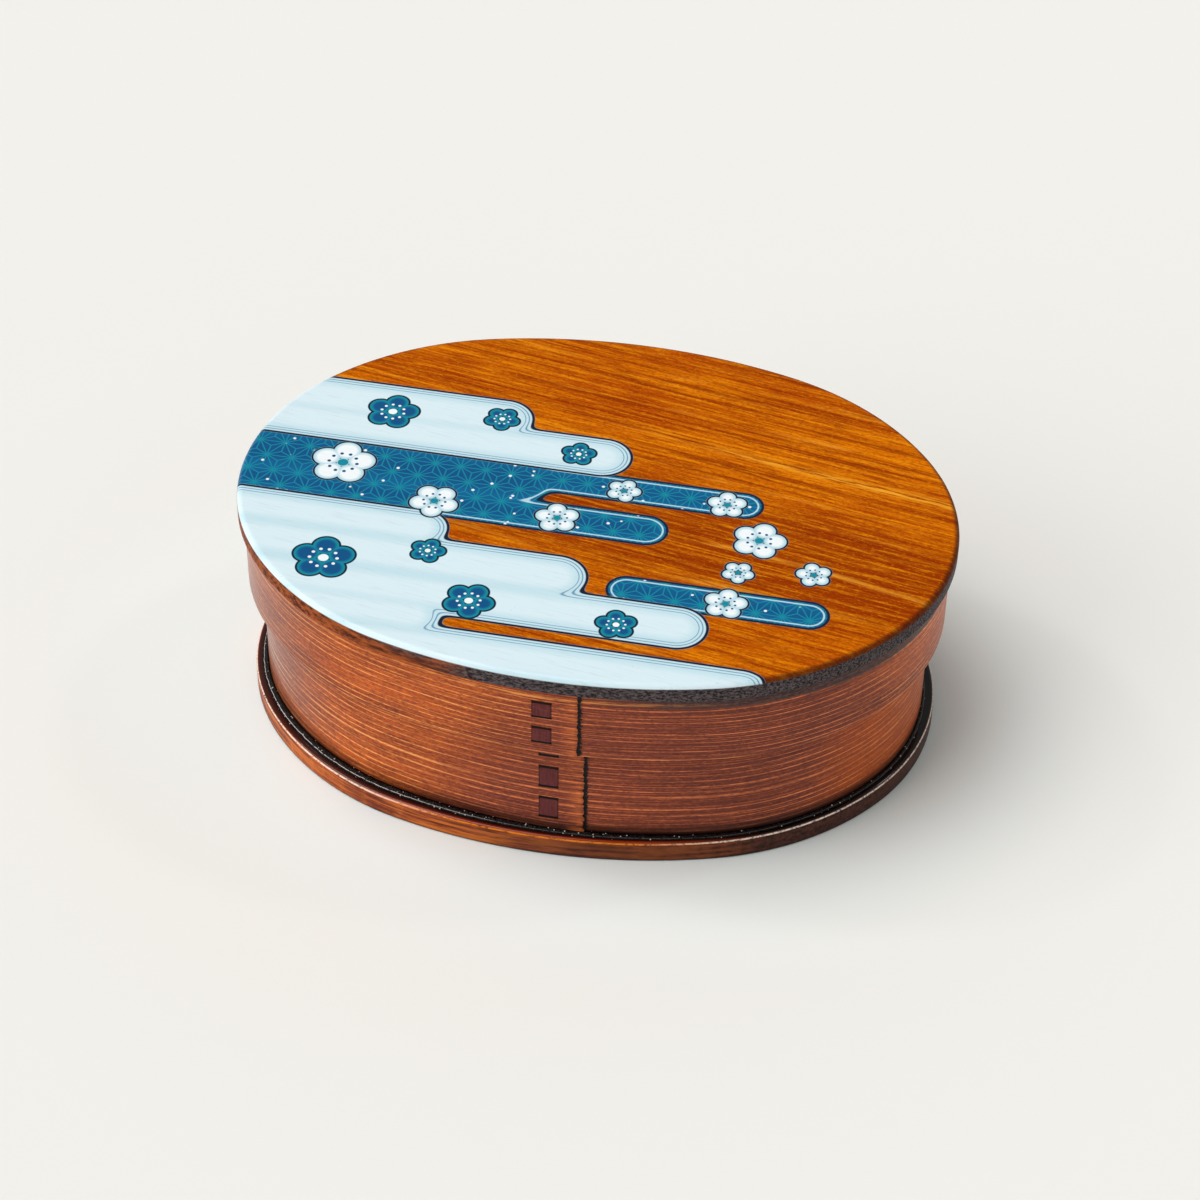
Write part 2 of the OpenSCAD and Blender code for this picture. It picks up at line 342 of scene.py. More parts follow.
# Body hoop: a thin strip of the same cedar, steamed and bent round a former, its ends tapered and
# lapped at the front. It stands in the base board's groove, and its rounded rim carries the lid.
# The outer end is cut off by hand, so it is ragged, bright with bare fibres, with a dark glue line
# and painted shade beside its step.

hoop_thickness = 2.5
rim_radius = 0.8
lap_length = 30.0
lap_step = 0.5
body_inset = 5.2
body_lap_x = 10.0
lid_underside = 55.0
seat_depth = 1.5
row_gap = 0.4


def lap_facing(inset, lap_x):
    """The way that a hoop's outer end faces, this far to the right of the front's middle."""
    return 1.5 * math.pi + math.asin(lap_x / (side_radius - inset))


def bent_hoop(inset, foot, rim, lap_x, seed):
    """A hoop from its seated foot to its free rim, either way up, with its lap at the front."""
    up = 1 if rim > foot else -1
    near = (0.9, 1.8, 4.5)

    def stops(length):
        lap_start = length - lap_length
        even = [length * i / 200 for i in range(1, 200)]
        special = [*near, *(length - gap for gap in near), lap_start, lap_start - 0.35]
        return [0.0, *sorted([s for s in even if all(abs(s - t) > 0.9 for t in special)
                              and near[-1] < s < length - near[-1]] + special), length]

    stations, length = oval_walk(lap_facing(inset, lap_x), stops)
    height = abs(rim - foot) - rim_radius
    rows = round(height / row_gap)
    section = [("outer", 0.0, foot + up * height * i / rows) for i in range(rows)]
    section += [("outer", drawn, rim - up * (rim_radius - rise)) for drawn, rise in
                round_over(rim_radius, 0.0, rim_radius, 0, 90, 5)]
    section += [("inner", drawn, rim - up * (rim_radius - rise)) for drawn, rise in
                reversed(round_over(rim_radius, 0.0, rim_radius, 0, 90, 5))]
    section += [("inner", 0.0, foot + up * height * i / 16) for i in range(15, -1, -1)]

    bm = bmesh.new()
    glow = bm.verts.layers.float.new("lap_bright")
    gloom = bm.verts.layers.float.new("lap_dark")
    reach = bm.verts.layers.float.new("from_rim")
    grain_map = bm.loops.layers.uv.new("grain")
    columns = []
    for facing, walked in stations:
        lapped = max(0.0, (walked - (length - lap_length)) / lap_length)
        column = []
        for side, drawn, z in section:
            sway = 0.12 * noise.noise((walked * 0.03, z * 0.03, seed))
            turned = facing
            if side == "outer":
                out = lap_step * lapped - drawn + sway
                if walked in (0.0, length):
                    ragged = 0.22 * noise.noise((0.0, z * 0.9, seed))
                    ragged += 0.42 * noise.noise((0.0, z * 7.3, seed))
                    turned += ragged / (side_radius - inset)
            else:
                inner_end = lap_step * (1 - lapped) if walked >= length - lap_length - 0.01 else 0.0
                out = -hoop_thickness + drawn - inner_end + sway
            x, y = oval_point(turned, inset - out)
            vert = bm.verts.new((x * mm, y * mm, z * mm))
            vert[glow] = max(0.0, 1 - (length - walked) / near[2])
            vert[gloom] = max(0.0, 1 - walked / near[1])
            vert[reach] = abs(rim - z)
            column.append((vert, walked, z + (300.0 if side == "inner" else 0.0)))
        columns.append(column)
    for first, second in zip(columns, columns[1:] + columns[:1]):
        for i in range(len(section)):
            j = (i + 1) % len(section)
            corners = [first[i], second[i], second[j], first[j]]
            face = bm.faces.new([corner[0] for corner in corners])
            for loop, (_, walked, rise) in zip(face.loops, corners):
                along = walked if second is not columns[0] or walked else length + 0.5
                loop[grain_map].uv = (along * mm, rise * mm)
    return bm


def hoop_finish(name, shift, line_gap, highlight_height):
    """The stained and lacquered face of a hoop: its grain follows the strip, with painted light and shade,
    and a painted highlight at a height.
    """
    material, tree, surface = lacquered(name, 0.45, 0.14, 0.03, 0.2)
    strip = add(tree, "ShaderNodeUVMap", {"uv_map": "grain"}).outputs[0]
    outer_face = left_over(tree, ramp_up(tree, three_ways(tree, strip)[1], 0.1, 0.2))
    flat = place_sum(tree, "ADD", strip, (shift, shift * 0.7, shift))
    grain = cedar_in(tree, flat, line_gap, 0.25, 0.004)
    aside = place_sum(tree, "ADD", flat, (0.3, 0.211, 0.0))
    fine = cedar_in(tree, aside, line_gap * 0.43, 0.42, 0.004)
    where = add(tree, "ShaderNodeTexCoord").outputs["Object"]
    spots = three_ways(tree, where)
    height = calc(tree, "DIVIDE", spots[2], mm)
    outside = left_over(tree, ramp_up(tree, spots[1], -0.052, -0.01))
    leaning = calc(tree, "SUBTRACT", spots[0], partly(tree, calc(tree, "SUBTRACT", height, 32.0), 0.0006))
    front = calc(tree, "MULTIPLY", outside, calc(
        tree, "SUBTRACT", ramp_up(tree, leaning, -0.030, 0.0), ramp_up(tree, spots[0], 0.072, 0.092)))
    far_left = left_over(tree, ramp_up(tree, spots[0], -0.074, -0.048))
    low_down = left_over(tree, ramp_up(tree, height, 26, 40))
    far_right = calc(tree, "MULTIPLY", ramp_up(tree, spots[0], 0.060, 0.080), low_down)

    wood = blend(tree, ramp_up(tree, grain["Clouds"], 0.30, 0.70), stain(134, 52, 24), stain(198, 90, 34))
    # Painted shade: the front is darker, and darker again towards its right; painted light: a golden glow low
    # on the far right.
    wood = blend(tree, partly(tree, front, 0.85), wood, stain(113, 51, 39))
    front_right = calc(tree, "MULTIPLY", front, ramp_up(tree, spots[0], 0.015, 0.05))
    wood = blend(tree, partly(tree, front_right, 0.35), wood, stain(84, 38, 32))
    wood = blend(tree, partly(tree, far_right, 0.8), wood, stain(190, 80, 4))
    dark_fibres = ramp_up(tree, grain["Fibres"], 0.44, 0.70)
    wood = blend(tree, partly(tree, dark_fibres, 0.62), wood, stain(74, 31, 26))
    # Flecks and growth lines are painted duller on the front, as painted shade.
    fleck = blend(tree, front, stain(226, 128, 46), stain(176, 88, 52))
    wood = blend(tree, partly(tree, ramp_up(tree, grain["Pores"], 0.45, 0.29), 0.55), wood, fleck)
    wood = blend(tree, partly(tree, fine["Lines"], 0.42), wood, stain(218, 114, 54))
    bright_line = blend(tree, front, stain(255, 172, 96), stain(230, 128, 78))
    wood = blend(tree, partly(tree, grain["Lines"], 0.95), wood, bright_line)
    wood = blend(tree, partly(tree, ramp_up(tree, grain["Pores"], 0.50, 0.66), 0.5), wood, stain(84, 36, 36))
    # More painted light low on the far right, and painted shade on the far left end.
    wood = blend(tree, partly(tree, far_right, 0.4), wood, stain(170, 70, 2))
    wood = blend(tree, partly(tree, far_left, 0.34), wood, stain(84, 34, 22))

    from_rim = add(tree, "ShaderNodeAttribute", {"attribute_name": "from_rim"}).outputs["Fac"]
    # Painted highlight along the rounded rim.
    painted_rim_highlight = left_over(tree, ramp_up(tree, from_rim, 0.25, 0.9))
    if highlight_height:
        # Painted highlight: a bright line at this height, left of the middle.
        off_line = calc(tree, "ABSOLUTE", calc(tree, "SUBTRACT", height, calc(
            tree, "ADD", highlight_height, partly(tree, calc(tree, "SUBTRACT", grain["Clouds"], 0.5), 1.0))))
        line = calc(tree, "MULTIPLY", left_over(tree, ramp_up(tree, off_line, 0.20, 0.55)),
                    left_over(tree, ramp_up(tree, spots[0], 0.0, 0.05)))
        painted_rim_highlight = calc(tree, "MAXIMUM", painted_rim_highlight, line)
        # Painted shade on the hoop's outer face just under the lid board's overhang, at the right.
        run_down = calc(tree, "ADD", partly(tree, grain["Clouds"], 5.0), partly(tree, grain["Pores"], 2.0))
        painted_shade_and_dark_edge = calc(tree, "MULTIPLY", ramp_up(tree, calc(tree, "ADD", height, run_down), 54.4, 55.6),
                     calc(tree, "MULTIPLY", outer_face, ramp_up(tree, spots[0], 0.005, 0.035)))
        overhang_shade_colour = blend(tree, ramp_up(tree, grain["Pores"], 0.36, 0.66), stain(32, 26, 27), stain(84, 66, 64))
        wood = blend(tree, partly(tree, painted_shade_and_dark_edge, 0.9), wood, overhang_shade_colour)
    painted_rim_highlight = calc(tree, "MULTIPLY", painted_rim_highlight, ramp_up(tree, grain["Fibres"], 0.62, 0.40))
    wood = blend(tree, partly(tree, painted_rim_highlight, 0.85), wood, stain(244, 156, 78))
    # Pooled lacquer and painted shade at the foot above the bead, stronger to the right.
    foot = left_over(tree, ramp_up(tree, height, base_height + 0.8, base_height + 5.2))
    to_right = partly(tree, ramp_up(tree, spots[0], -0.06, 0.01), 0.45)
    pooled_and_shaded = calc(tree, "MULTIPLY", foot, calc(tree, "ADD", 0.5, to_right))
    wood = blend(tree, pooled_and_shaded, wood, stain(30, 9, 6))

    highlight_and_bare_fibres = add(tree, "ShaderNodeAttribute", {"attribute_name": "lap_bright"}).outputs["Fac"]
    highlight_and_bare_fibres = calc(tree, "MULTIPLY", highlight_and_bare_fibres, ramp_up(tree, grain["Fibres"], 0.60, 0.36))
    wood = blend(tree, partly(tree, highlight_and_bare_fibres, 0.7), wood, stain(230, 122, 58))
    crumbs = add(tree, "ShaderNodeTexNoise", Vector=flat, Scale=1700.0, Detail=2.0).outputs[0]
    # Dark glue line at the lap end, with painted shade of the step beside it.
    glue_and_step_shade = add(tree, "ShaderNodeAttribute", {"attribute_name": "lap_dark"}).outputs["Fac"]
    wood = blend(tree, partly(tree, ramp_up(tree, glue_and_step_shade, 0.0, 0.8), 0.6), wood, stain(46, 22, 21))
    ragged = calc(tree, "ADD", glue_and_step_shade, partly(tree, calc(tree, "SUBTRACT", crumbs, 0.5), 1.1))
    wood = blend(tree, ramp_up(tree, ragged, 0.44, 0.54), wood, stain(7, 4, 4))
    tree.links.new(wood, surface["Base Color"])
    at_right_end = ramp_up(tree, spots[0], 0.074, 0.092)
    sheen = calc(tree, "ADD", partly(tree, far_left, 0.55), partly(tree, at_right_end, 0.2))
    tree.links.new(calc(tree, "ADD", 0.03, sheen), surface["Coat Weight"])
    relief = calc(tree, "ADD", partly(tree, grain["Lines"], 0.6), grain["Fibres"])
    raise_by(tree, surface, relief, 0.00004, 0.5)
    return material


body_cedar = hoop_finish("body_cedar", 0.137, 0.0019, None)
body_hoop = bent_hoop(body_inset, base_height - seat_depth, lid_underside, body_lap_x, 3.7)
keep_piece("body_hoop", body_hoop, body_cedar, "body", "hoop_wood", "body_hoop")


# Bark stitches of the body: a strip of cherry bark, sewn through slits in the lap in a running
# stitch, so that squares of it show outside and short runs inside. The slits are cut a little
# wider than the bark and hold dark lacquer.

bark_width = 4.5
bark_thickness = 0.6
bark_proud = 0.15
bark_back = 8.5
slit_length = 5.0
slit_height = 0.4
slit_fill = 0.3
slit_sink = 0.1
body_stitch_rise, body_stitch_height, body_stitch_gap = 4.2, 6.7, 3.5

sewing = bpy.data.node_groups.new("running_stitch", "GeometryNodeTree")
sewing.interface.new_socket("Geometry", in_out="INPUT", socket_type="NodeSocketGeometry")
sewing.interface.new_socket("Count", in_out="INPUT", socket_type="NodeSocketInt")
for socket in ("Pitch", "Width", "Height", "Thickness", "Tuck"):
    sewing.interface.new_socket(socket, in_out="INPUT", socket_type="NodeSocketFloat")
sewing.interface.new_socket("Finish", in_out="INPUT", socket_type="NodeSocketMaterial")
sewing.interface.new_socket("Geometry", in_out="OUTPUT", socket_type="NodeSocketGeometry")
given = sewing.nodes.new("NodeGroupInput").outputs
row = add(sewing, "GeometryNodeMeshLine", Count=given["Count"],
          Offset=add(sewing, "ShaderNodeCombineXYZ", Z=given["Pitch"]).outputs[0]).outputs[0]
stitch = add(sewing, "GeometryNodeMeshCube", Size=add(
    sewing, "ShaderNodeCombineXYZ", X=given["Width"], Y=given["Thickness"], Z=given["Height"]).outputs[0],
    Vertices_X=7, Vertices_Y=3, Vertices_Z=19).outputs[0]
spot = three_ways(sewing, sewing.nodes.new("GeometryNodeInputPosition").outputs[0])
half_height = calc(sewing, "MULTIPLY", given["Height"], 0.5)
half_width = calc(sewing, "MULTIPLY", given["Width"], 0.5)
to_end = calc(sewing, "DIVIDE", calc(sewing, "ABSOLUTE", spot[2]), half_height)
to_side = calc(sewing, "DIVIDE", calc(sewing, "ABSOLUTE", spot[0]), half_width)
side_sink = calc(sewing, "MULTIPLY", calc(sewing, "POWER", to_side, 10.0), 0.12)
sink = calc(sewing, "ADD", calc(sewing, "POWER", to_end, 16.0), side_sink)
bent = add(sewing, "GeometryNodeSetPosition", Geometry=stitch, Offset=add(
    sewing, "ShaderNodeCombineXYZ", Y=calc(sewing, "MULTIPLY", sink, given["Tuck"])).outputs[0]).outputs[0]
sewn = add(sewing, "GeometryNodeInstanceOnPoints", Points=row, Instance=bent).outputs[0]
sewn = add(sewing, "GeometryNodeRealizeInstances", Geometry=sewn).outputs[0]
sewn = add(sewing, "GeometryNodeSetMaterial", Geometry=sewn, Material=given["Finish"]).outputs[0]
sewing.links.new(sewn, sewing.nodes.new("NodeGroupOutput").inputs[0])


def sew(name, seat, body, slot, nodes, **sizes):
    """A row of stitches, sewn at a seat, as a piece that rides on a body."""
    holder = bpy.data.objects.new(name, bpy.data.meshes.new(name))
    bpy.context.collection.objects.link(holder)
    needle = holder.modifiers.new("sewing", "NODES")
    needle.node_group = sewing
    for item in sewing.interface.items_tree:
        if item.in_out == "INPUT" and item.name in sizes:
            needle[item.identifier] = sizes[item.name]
    mesh = bpy.data.meshes.new_from_object(holder.evaluated_get(bpy.context.evaluated_depsgraph_get()))
    holder.modifiers.remove(needle)
    mesh.transform(seat)
    mesh.polygons.foreach_set("use_smooth", [True] * len(mesh.polygons))
    mesh.set_sharp_from_angle(angle=math.radians(50))
    mesh.name = name
    holder.data = mesh
    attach(holder, body)
    if nodes:
        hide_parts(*nodes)


def sew_lap(inset, lap_x, first_z, count, height, gap, body, strip):
    """All that shows of one bark strip: outside squares, inside runs and the slits around them."""
    outer = side_radius - inset
    turn = lap_facing(inset, lap_x) - 1.5 * math.pi - bark_back / outer
    taken = bark_back / lap_length
    front = outer + lap_step * (1 - taken)
    rear = outer - hoop_thickness - lap_step * taken
    about = Matrix.Translation((0, side_centre[1] * mm, 0)) @ Matrix.Rotation(turn, 4, "Z")

    def seat(distance, z, facing_in=False):
        flip = Matrix.Rotation(math.pi, 4, "Z") if facing_in else Matrix.Identity(4)
        return about @ Matrix.Translation((0, -distance * mm, z * mm)) @ flip

    pitch = height + gap
    half = bark_thickness / 2
    common = dict(Pitch=pitch * mm, Thickness=bark_thickness * mm, Finish=cherry_bark)
    sew(strip, seat(front + bark_proud - half, first_z + height / 2), body, "bark", [strip],
        Count=count, Width=bark_width * mm, Height=(height - slit_height) * mm, Tuck=0.5 * mm, **common)
    sew(strip + "_inside", seat(rear - bark_proud + half, first_z + height + gap / 2, True), body, "bark", [],
        Count=count - 1, Width=bark_width * mm, Height=(gap + 1.0) * mm, Tuck=0.9 * mm, **common)
    slits = dict(common, Finish=slit_lacquer, Thickness=slit_fill * mm)
    sew(f"{strip}_bed", seat(front - slit_sink, first_z + height / 2), body, "bark", [], Count=count,
        Width=(bark_width + 0.3) * mm, Height=height * mm, Tuck=0.01 * mm, **slits)
    for end, z in (("low", first_z), ("high", first_z + height)):
        sew(f"{strip}_slits_{end}", seat(front - slit_sink, z), body, "bark", [], Count=count,
            Width=slit_length * mm, Height=slit_height * mm, Tuck=0.02 * mm, **slits)
        sew(f"{strip}_slits_{end}_inside", seat(rear + slit_sink, z, True), body, "bark", [], Count=count,
            Width=slit_length * mm, Height=slit_height * mm, Tuck=0.02 * mm, **slits)


cherry_bark, tree, surface = lacquered("cherry_bark", 0.42, 0.1, 0.0, 0.2)
where = add(tree, "ShaderNodeTexCoord").outputs["Object"]
streaks = stretched_noise(tree, where, (2600.0, 2600.0, 260.0), 3.0, 0.6)
flecks = stretched_noise(tree, where, (420.0, 420.0, 3000.0), 1.0)
skin = blend(tree, ramp_up(tree, streaks, 0.3, 0.7), stain(88, 38, 39), stain(104, 49, 48))
skin = blend(tree, calc(tree, "MULTIPLY", ramp_up(tree, flecks, 0.62, 0.72), 0.35), skin, stain(122, 62, 54))
tree.links.new(skin, surface["Base Color"])
raise_by(tree, surface, streaks, 0.00005, 0.6)

slit_lacquer, tree, surface = lacquered("slit_lacquer", 0.5, 0.1, 0.0, 0.1)
where = add(tree, "ShaderNodeTexCoord").outputs["Object"]
crumbs = add(tree, "ShaderNodeTexNoise", Vector=where, Scale=1800.0, Detail=2.0).outputs[0]
black = blend(tree, ramp_up(tree, crumbs, 0.4, 0.7), stain(6, 4, 4), stain(26, 14, 13))
tree.links.new(black, surface["Base Color"])
raise_by(tree, surface, crumbs, 0.00005, 0.5)

sew_lap(body_inset, body_lap_x, base_height + body_stitch_rise, 4, body_stitch_height, body_stitch_gap,
        "body", "body_bark_stitch")


# Seam beads: putty of lacquer and wood dust, pressed with a finger into the corners of the hoop and
# the base board, outside on the ledge and inside on the floor, then lacquered over. It is lumpy
# and very glossy, and the outer one is fuller at the front left. Pale specks and a pale line
# along its crest, stronger at the left, are painted highlights.

bead_size = 1.0
glue_gap = 0.1


def pressed_bead(inset, away, fullness, seed):
    """A lumpy bead in the corner of hoop and board, away from the hoop, fuller at the front left."""
    bm = bmesh.new()
    crest = bm.verts.layers.float.new("crest")
    stations, _ = oval_walk(math.pi / 2, even_stops(0.9))
    columns = []
    for facing, walked in stations:
        lump = noise.noise((walked * 0.11, seed, 0.0)) * 0.10 + noise.noise((walked * 0.55, seed, 4.0)) * 0.16
        size = bead_size * min(1.0, 0.84 + lump)
        spread = 1 + fullness * max(0.0, math.cos(facing - math.radians(235))) ** 2
        column = []
        turns = [math.radians(degrees) for degrees in (18, 36, 54, 72)]
        quarter = [(size * math.cos(turn), size * math.sin(turn)) for turn in turns]
        for out, rise in [(0.0, 0.0), (size, 0.0), *quarter, (0.0, size)]:
            x, y = oval_point(facing, inset - away * (glue_gap + out * spread))
            column.append(bm.verts.new((x * mm, y * mm, (base_height + rise) * mm)))
        column[3][crest] = 1.0
        columns.append(column)
    for first, second in zip(columns, columns[1:] + columns[:1]):
        for i in range(len(first)):
            j = (i + 1) % len(first)
            bm.faces.new((first[i], second[i], second[j], first[j]))
    return bm


putty_lacquer, tree, surface = lacquered("putty_lacquer", 0.14, 0.12, 0.0, 0.03)
where = add(tree, "ShaderNodeTexCoord").outputs["Object"]
lumps = add(tree, "ShaderNodeTexNoise", Vector=where, Scale=1100.0, Detail=3.0, Roughness=0.6).outputs[0]
putty = blend(tree, ramp_up(tree, lumps, 0.35, 0.75), stain(7, 4, 4), stain(26, 11, 9))
# Painted highlights: pale specks for glints on the gloss.
painted_glints = add(tree, "ShaderNodeTexVoronoi", Vector=where, Scale=900.0, Randomness=1.0).outputs["Distance"]
putty = blend(tree, left_over(tree, ramp_up(tree, painted_glints, 0.10, 0.20)), putty, stain(190, 182, 174))
crest = add(tree, "ShaderNodeAttribute", {"attribute_name": "crest"}).outputs["Fac"]
to_left = left_over(tree, ramp_up(tree, three_ways(tree, where)[0], -0.045, 0.0))
# Painted highlight along the crest, stronger at the left.
painted_crest_highlight = calc(tree, "MULTIPLY", ramp_up(tree, crest, 0.70, 0.95), ramp_up(tree, lumps, 0.30, 0.50))
painted_crest_highlight = calc(tree, "MULTIPLY", painted_crest_highlight, calc(tree, "ADD", 0.12, partly(tree, to_left, 0.8)))
tree.links.new(blend(tree, painted_crest_highlight, putty, stain(214, 210, 204)), surface["Base Color"])
raise_by(tree, surface, lumps, 0.0005, 0.9)
outer_bead = pressed_bead(body_inset, 1, 1.2, 1.0)
keep_piece("outer_seam_bead", outer_bead, putty_lacquer, "body", "lacquer_putty", "outer_seam_bead")
inner_bead = pressed_bead(body_inset + hoop_thickness, -1, 0.0, 6.0)
keep_piece("inner_seam_bead", inner_bead, putty_lacquer, "body", "lacquer_putty", "inner_seam_bead")


# Lid hoop: a lower strip of cedar, bent, lapped and sewn with bark like the body's, and glued into
# the lid board's groove. Its free rim hangs down over the body with a millimetre to spare.

lid_inset = 1.6
lid_rim = 34.5
lid_lap_x = 9.0
lid_stitch_rise, lid_stitch_height, lid_stitch_gap = 3.7, 4.8, 3.2
lid_cedar = hoop_finish("lid_cedar", 0.458, 0.0015, 52.5)
lid_hoop = bent_hoop(lid_inset, lid_underside + seat_depth, lid_rim, lid_lap_x, 8.2)
keep_piece("lid_hoop", lid_hoop, lid_cedar, "lid", "hoop_wood", "lid_hoop")
sew_lap(lid_inset, lid_lap_x, lid_rim + lid_stitch_rise, 2, lid_stitch_height, lid_stitch_gap,
        "lid", "lid_bark_stitch")


# Lid board: a solid oval of cedar, stained orange and lacquered satin, rounded over at the top. A
# design of mist bands and plum blossom is screen-printed on it in pale and deep blue and runs
# over the rounded edge. Its edge is brown on the left half and nearly black on the right half.

lid_top = 60.0
lid_round = 1.5
lid_skin = 0.03
board_cedar, tree, surface = lacquered("board_cedar", 0.42, 0.02, 0.0, 0.16)
where = add(tree, "ShaderNodeTexCoord").outputs["Object"]
spots = three_ways(tree, where)
height = calc(tree, "DIVIDE", spots[2], mm)
inset = add(tree, "ShaderNodeAttribute", {"attribute_name": "edge_in"}).outputs["Fac"]
along = add(tree, "ShaderNodeMapping", Vector=where, Rotation=(0.0, 0.0, math.radians(10))).outputs[0]
grain = cedar_in(tree, along, 0.0042, 0.34, 0.010)
streak = cedar_in(tree, place_sum(tree, "ADD", along, (0.2, 0.117, 0.3)), 0.013, 0.12, 0.014)
rays = stretched_noise(tree, along, (11.0, 560.0, 300.0), 4.0, 0.62)
wood = blend(tree, ramp_up(tree, grain["Clouds"], 0.28, 0.72), stain(180, 74, 0), stain(226, 122, 2))
across = three_ways(tree, along)[1]
uneven = calc(tree, "ADD", across, partly(tree, calc(tree, "SUBTRACT", grain["Clouds"], 0.5), 0.010))
heartwood = calc(tree, "SUBTRACT", ramp_up(tree, uneven, -0.028, -0.014), ramp_up(tree, uneven, 0.006, 0.022))
wood = blend(tree, partly(tree, heartwood, 0.85), wood, stain(150, 50, 0))
wood = blend(tree, partly(tree, ramp_up(tree, rays, 0.47, 0.64), 0.8), wood, stain(138, 46, 0))
wood = blend(tree, partly(tree, ramp_up(tree, rays, 0.46, 0.32), 0.65), wood, stain(240, 146, 12))
wood = blend(tree, partly(tree, grain["Lines"], 0.4), wood, stain(234, 140, 18))
wood = blend(tree, partly(tree, ramp_up(tree, grain["Fibres"], 0.48, 0.64), 0.55), wood, stain(126, 42, 0))
wood = blend(tree, partly(tree, ramp_up(tree, grain["Fibres"], 0.46, 0.32), 0.55), wood, stain(244, 154, 12))
wood = blend(tree, partly(tree, ramp_up(tree, grain["Pores"], 0.50, 0.64), 0.45), wood, stain(130, 44, 0))
wood = blend(tree, partly(tree, ramp_up(tree, grain["Pores"], 0.43, 0.30), 0.4), wood, stain(242, 150, 6))
glint = calc(tree, "MULTIPLY", streak["Lines"], ramp_up(tree, streak["Clouds"], 0.46, 0.62))
wood = blend(tree, partly(tree, glint, 0.5), wood, stain(246, 168, 52))
bowed = calc(tree, "ADD", across, partly(tree, calc(tree, "SUBTRACT", grain["Clouds"], 0.5), 0.002))
off_streak = calc(tree, "ABSOLUTE", calc(tree, "SUBTRACT", bowed, 0.0305))
at_right = ramp_up(tree, spots[0], -0.01, 0.06)
shown = calc(tree, "MULTIPLY", at_right, ramp_up(tree, grain["Fibres"], 0.62, 0.42))
for reach, share, bright in ((0.0034, 0.5, stain(244, 158, 26)), (0.0013, 0.6, stain(250, 174, 52))):
    lit = calc(tree, "MULTIPLY", shown, partly(tree, ramp_up(tree, off_streak, reach, 0.0), share))
    wood = blend(tree, lit, wood, bright)
at_edge = left_over(tree, ramp_up(tree, inset, 0.5, 1.7))
wood = blend(tree, partly(tree, at_edge, 0.8), wood, stain(74, 30, 14))

dark_end = blend(tree, ramp_up(tree, grain["Pores"], 0.36, 0.66), stain(36, 31, 33), stain(100, 90, 91))
brown_end = blend(tree, ramp_up(tree, grain["Fibres"], 0.36, 0.64), stain(168, 88, 44), stain(78, 38, 28))
painted_shade_and_dark_edge = calc(tree, "ADD", spots[0], partly(tree, calc(tree, "SUBTRACT", grain["Clouds"], 0.5), 0.12))
edge = blend(tree, ramp_up(tree, painted_shade_and_dark_edge, -0.032, -0.002), brown_end, dark_end)
below = left_over(tree, ramp_up(tree, height, lid_top - 1.25, lid_top - 0.75))
on_underside = left_over(tree, ramp_up(tree, height, lid_underside + 0.02, lid_underside + 0.06))
wood = blend(tree, calc(tree, "SUBTRACT", below, on_underside, clamp=True), wood, edge)

# The design is drawn as distances, in millimetres, from the outlines of its bands and blossoms.
band_group, given, result = new_group(
    "mist_band", ["Place"], ["Left", "Right", "Back", "Half width"], ["Distance"])
at = three_ways(band_group, given["Place"])
past_left = calc(band_group, "SUBTRACT", given["Left"], at[0])
past = calc(band_group, "MAXIMUM", past_left, calc(band_group, "SUBTRACT", at[0], given["Right"]))
reach = add(band_group, "ShaderNodeCombineXYZ", X=calc(band_group, "MAXIMUM", past, 0.0),
            Y=calc(band_group, "SUBTRACT", at[1], given["Back"]), Z=0.0).outputs[0]
reach = place_sum(band_group, "LENGTH", reach)
band_group.links.new(calc(band_group, "SUBTRACT", reach, given["Half width"]), result["Distance"])

plum_group, given, result = new_group(
    "plum_blossom", ["Place", "Middle"], ["Size", "Turn"], ["Petals", "Stamens", "Heart"])
at = place_sum(plum_group, "SUBTRACT", given["Place"], given["Middle"])
at = place_sum(plum_group, "MULTIPLY", at, (1.0, 1.0, 0.0))
far = place_sum(plum_group, "LENGTH", at)
parts = three_ways(plum_group, at)
bearing = calc(plum_group, "ADD", calc(plum_group, "ARCTAN2", parts[1], parts[0]), given["Turn"])


def fold(count):
    """Distance from the nearest of evenly turned spokes, as a place along and beside it."""
    turn = 2 * math.pi / count
    off = calc(plum_group, "SUBTRACT", calc(plum_group, "FLOORED_MODULO", bearing, turn), turn / 2)
    return (calc(plum_group, "MULTIPLY", far, calc(plum_group, "COSINE", off)),
            calc(plum_group, "MULTIPLY", far, calc(plum_group, "SINE", off)))


def disc(spoke, distance, radius):
    """Distance from a round spot that lies out along a spoke."""
    away = add(plum_group, "ShaderNodeCombineXYZ", Z=0.0, Y=spoke[1], X=calc(
        plum_group, "SUBTRACT", spoke[0], calc(plum_group, "MULTIPLY", given["Size"], distance))).outputs[0]
    away = place_sum(plum_group, "LENGTH", away)
    return calc(plum_group, "SUBTRACT", away, calc(plum_group, "MULTIPLY", given["Size"], radius))


middle = calc(plum_group, "SUBTRACT", far, calc(plum_group, "MULTIPLY", given["Size"], 0.22))
plum_group.links.new(calc(plum_group, "MINIMUM", disc(fold(5), 0.56, 0.43), middle), result["Petals"])
plum_group.links.new(disc(fold(10), 0.42, 0.055), result["Stamens"])
heart_spot = calc(plum_group, "SUBTRACT", far, calc(plum_group, "MULTIPLY", given["Size"], 0.16))
plum_group.links.new(heart_spot, result["Heart"])

sheet = place_sum(tree, "SCALE", where, Scale=1 / mm)


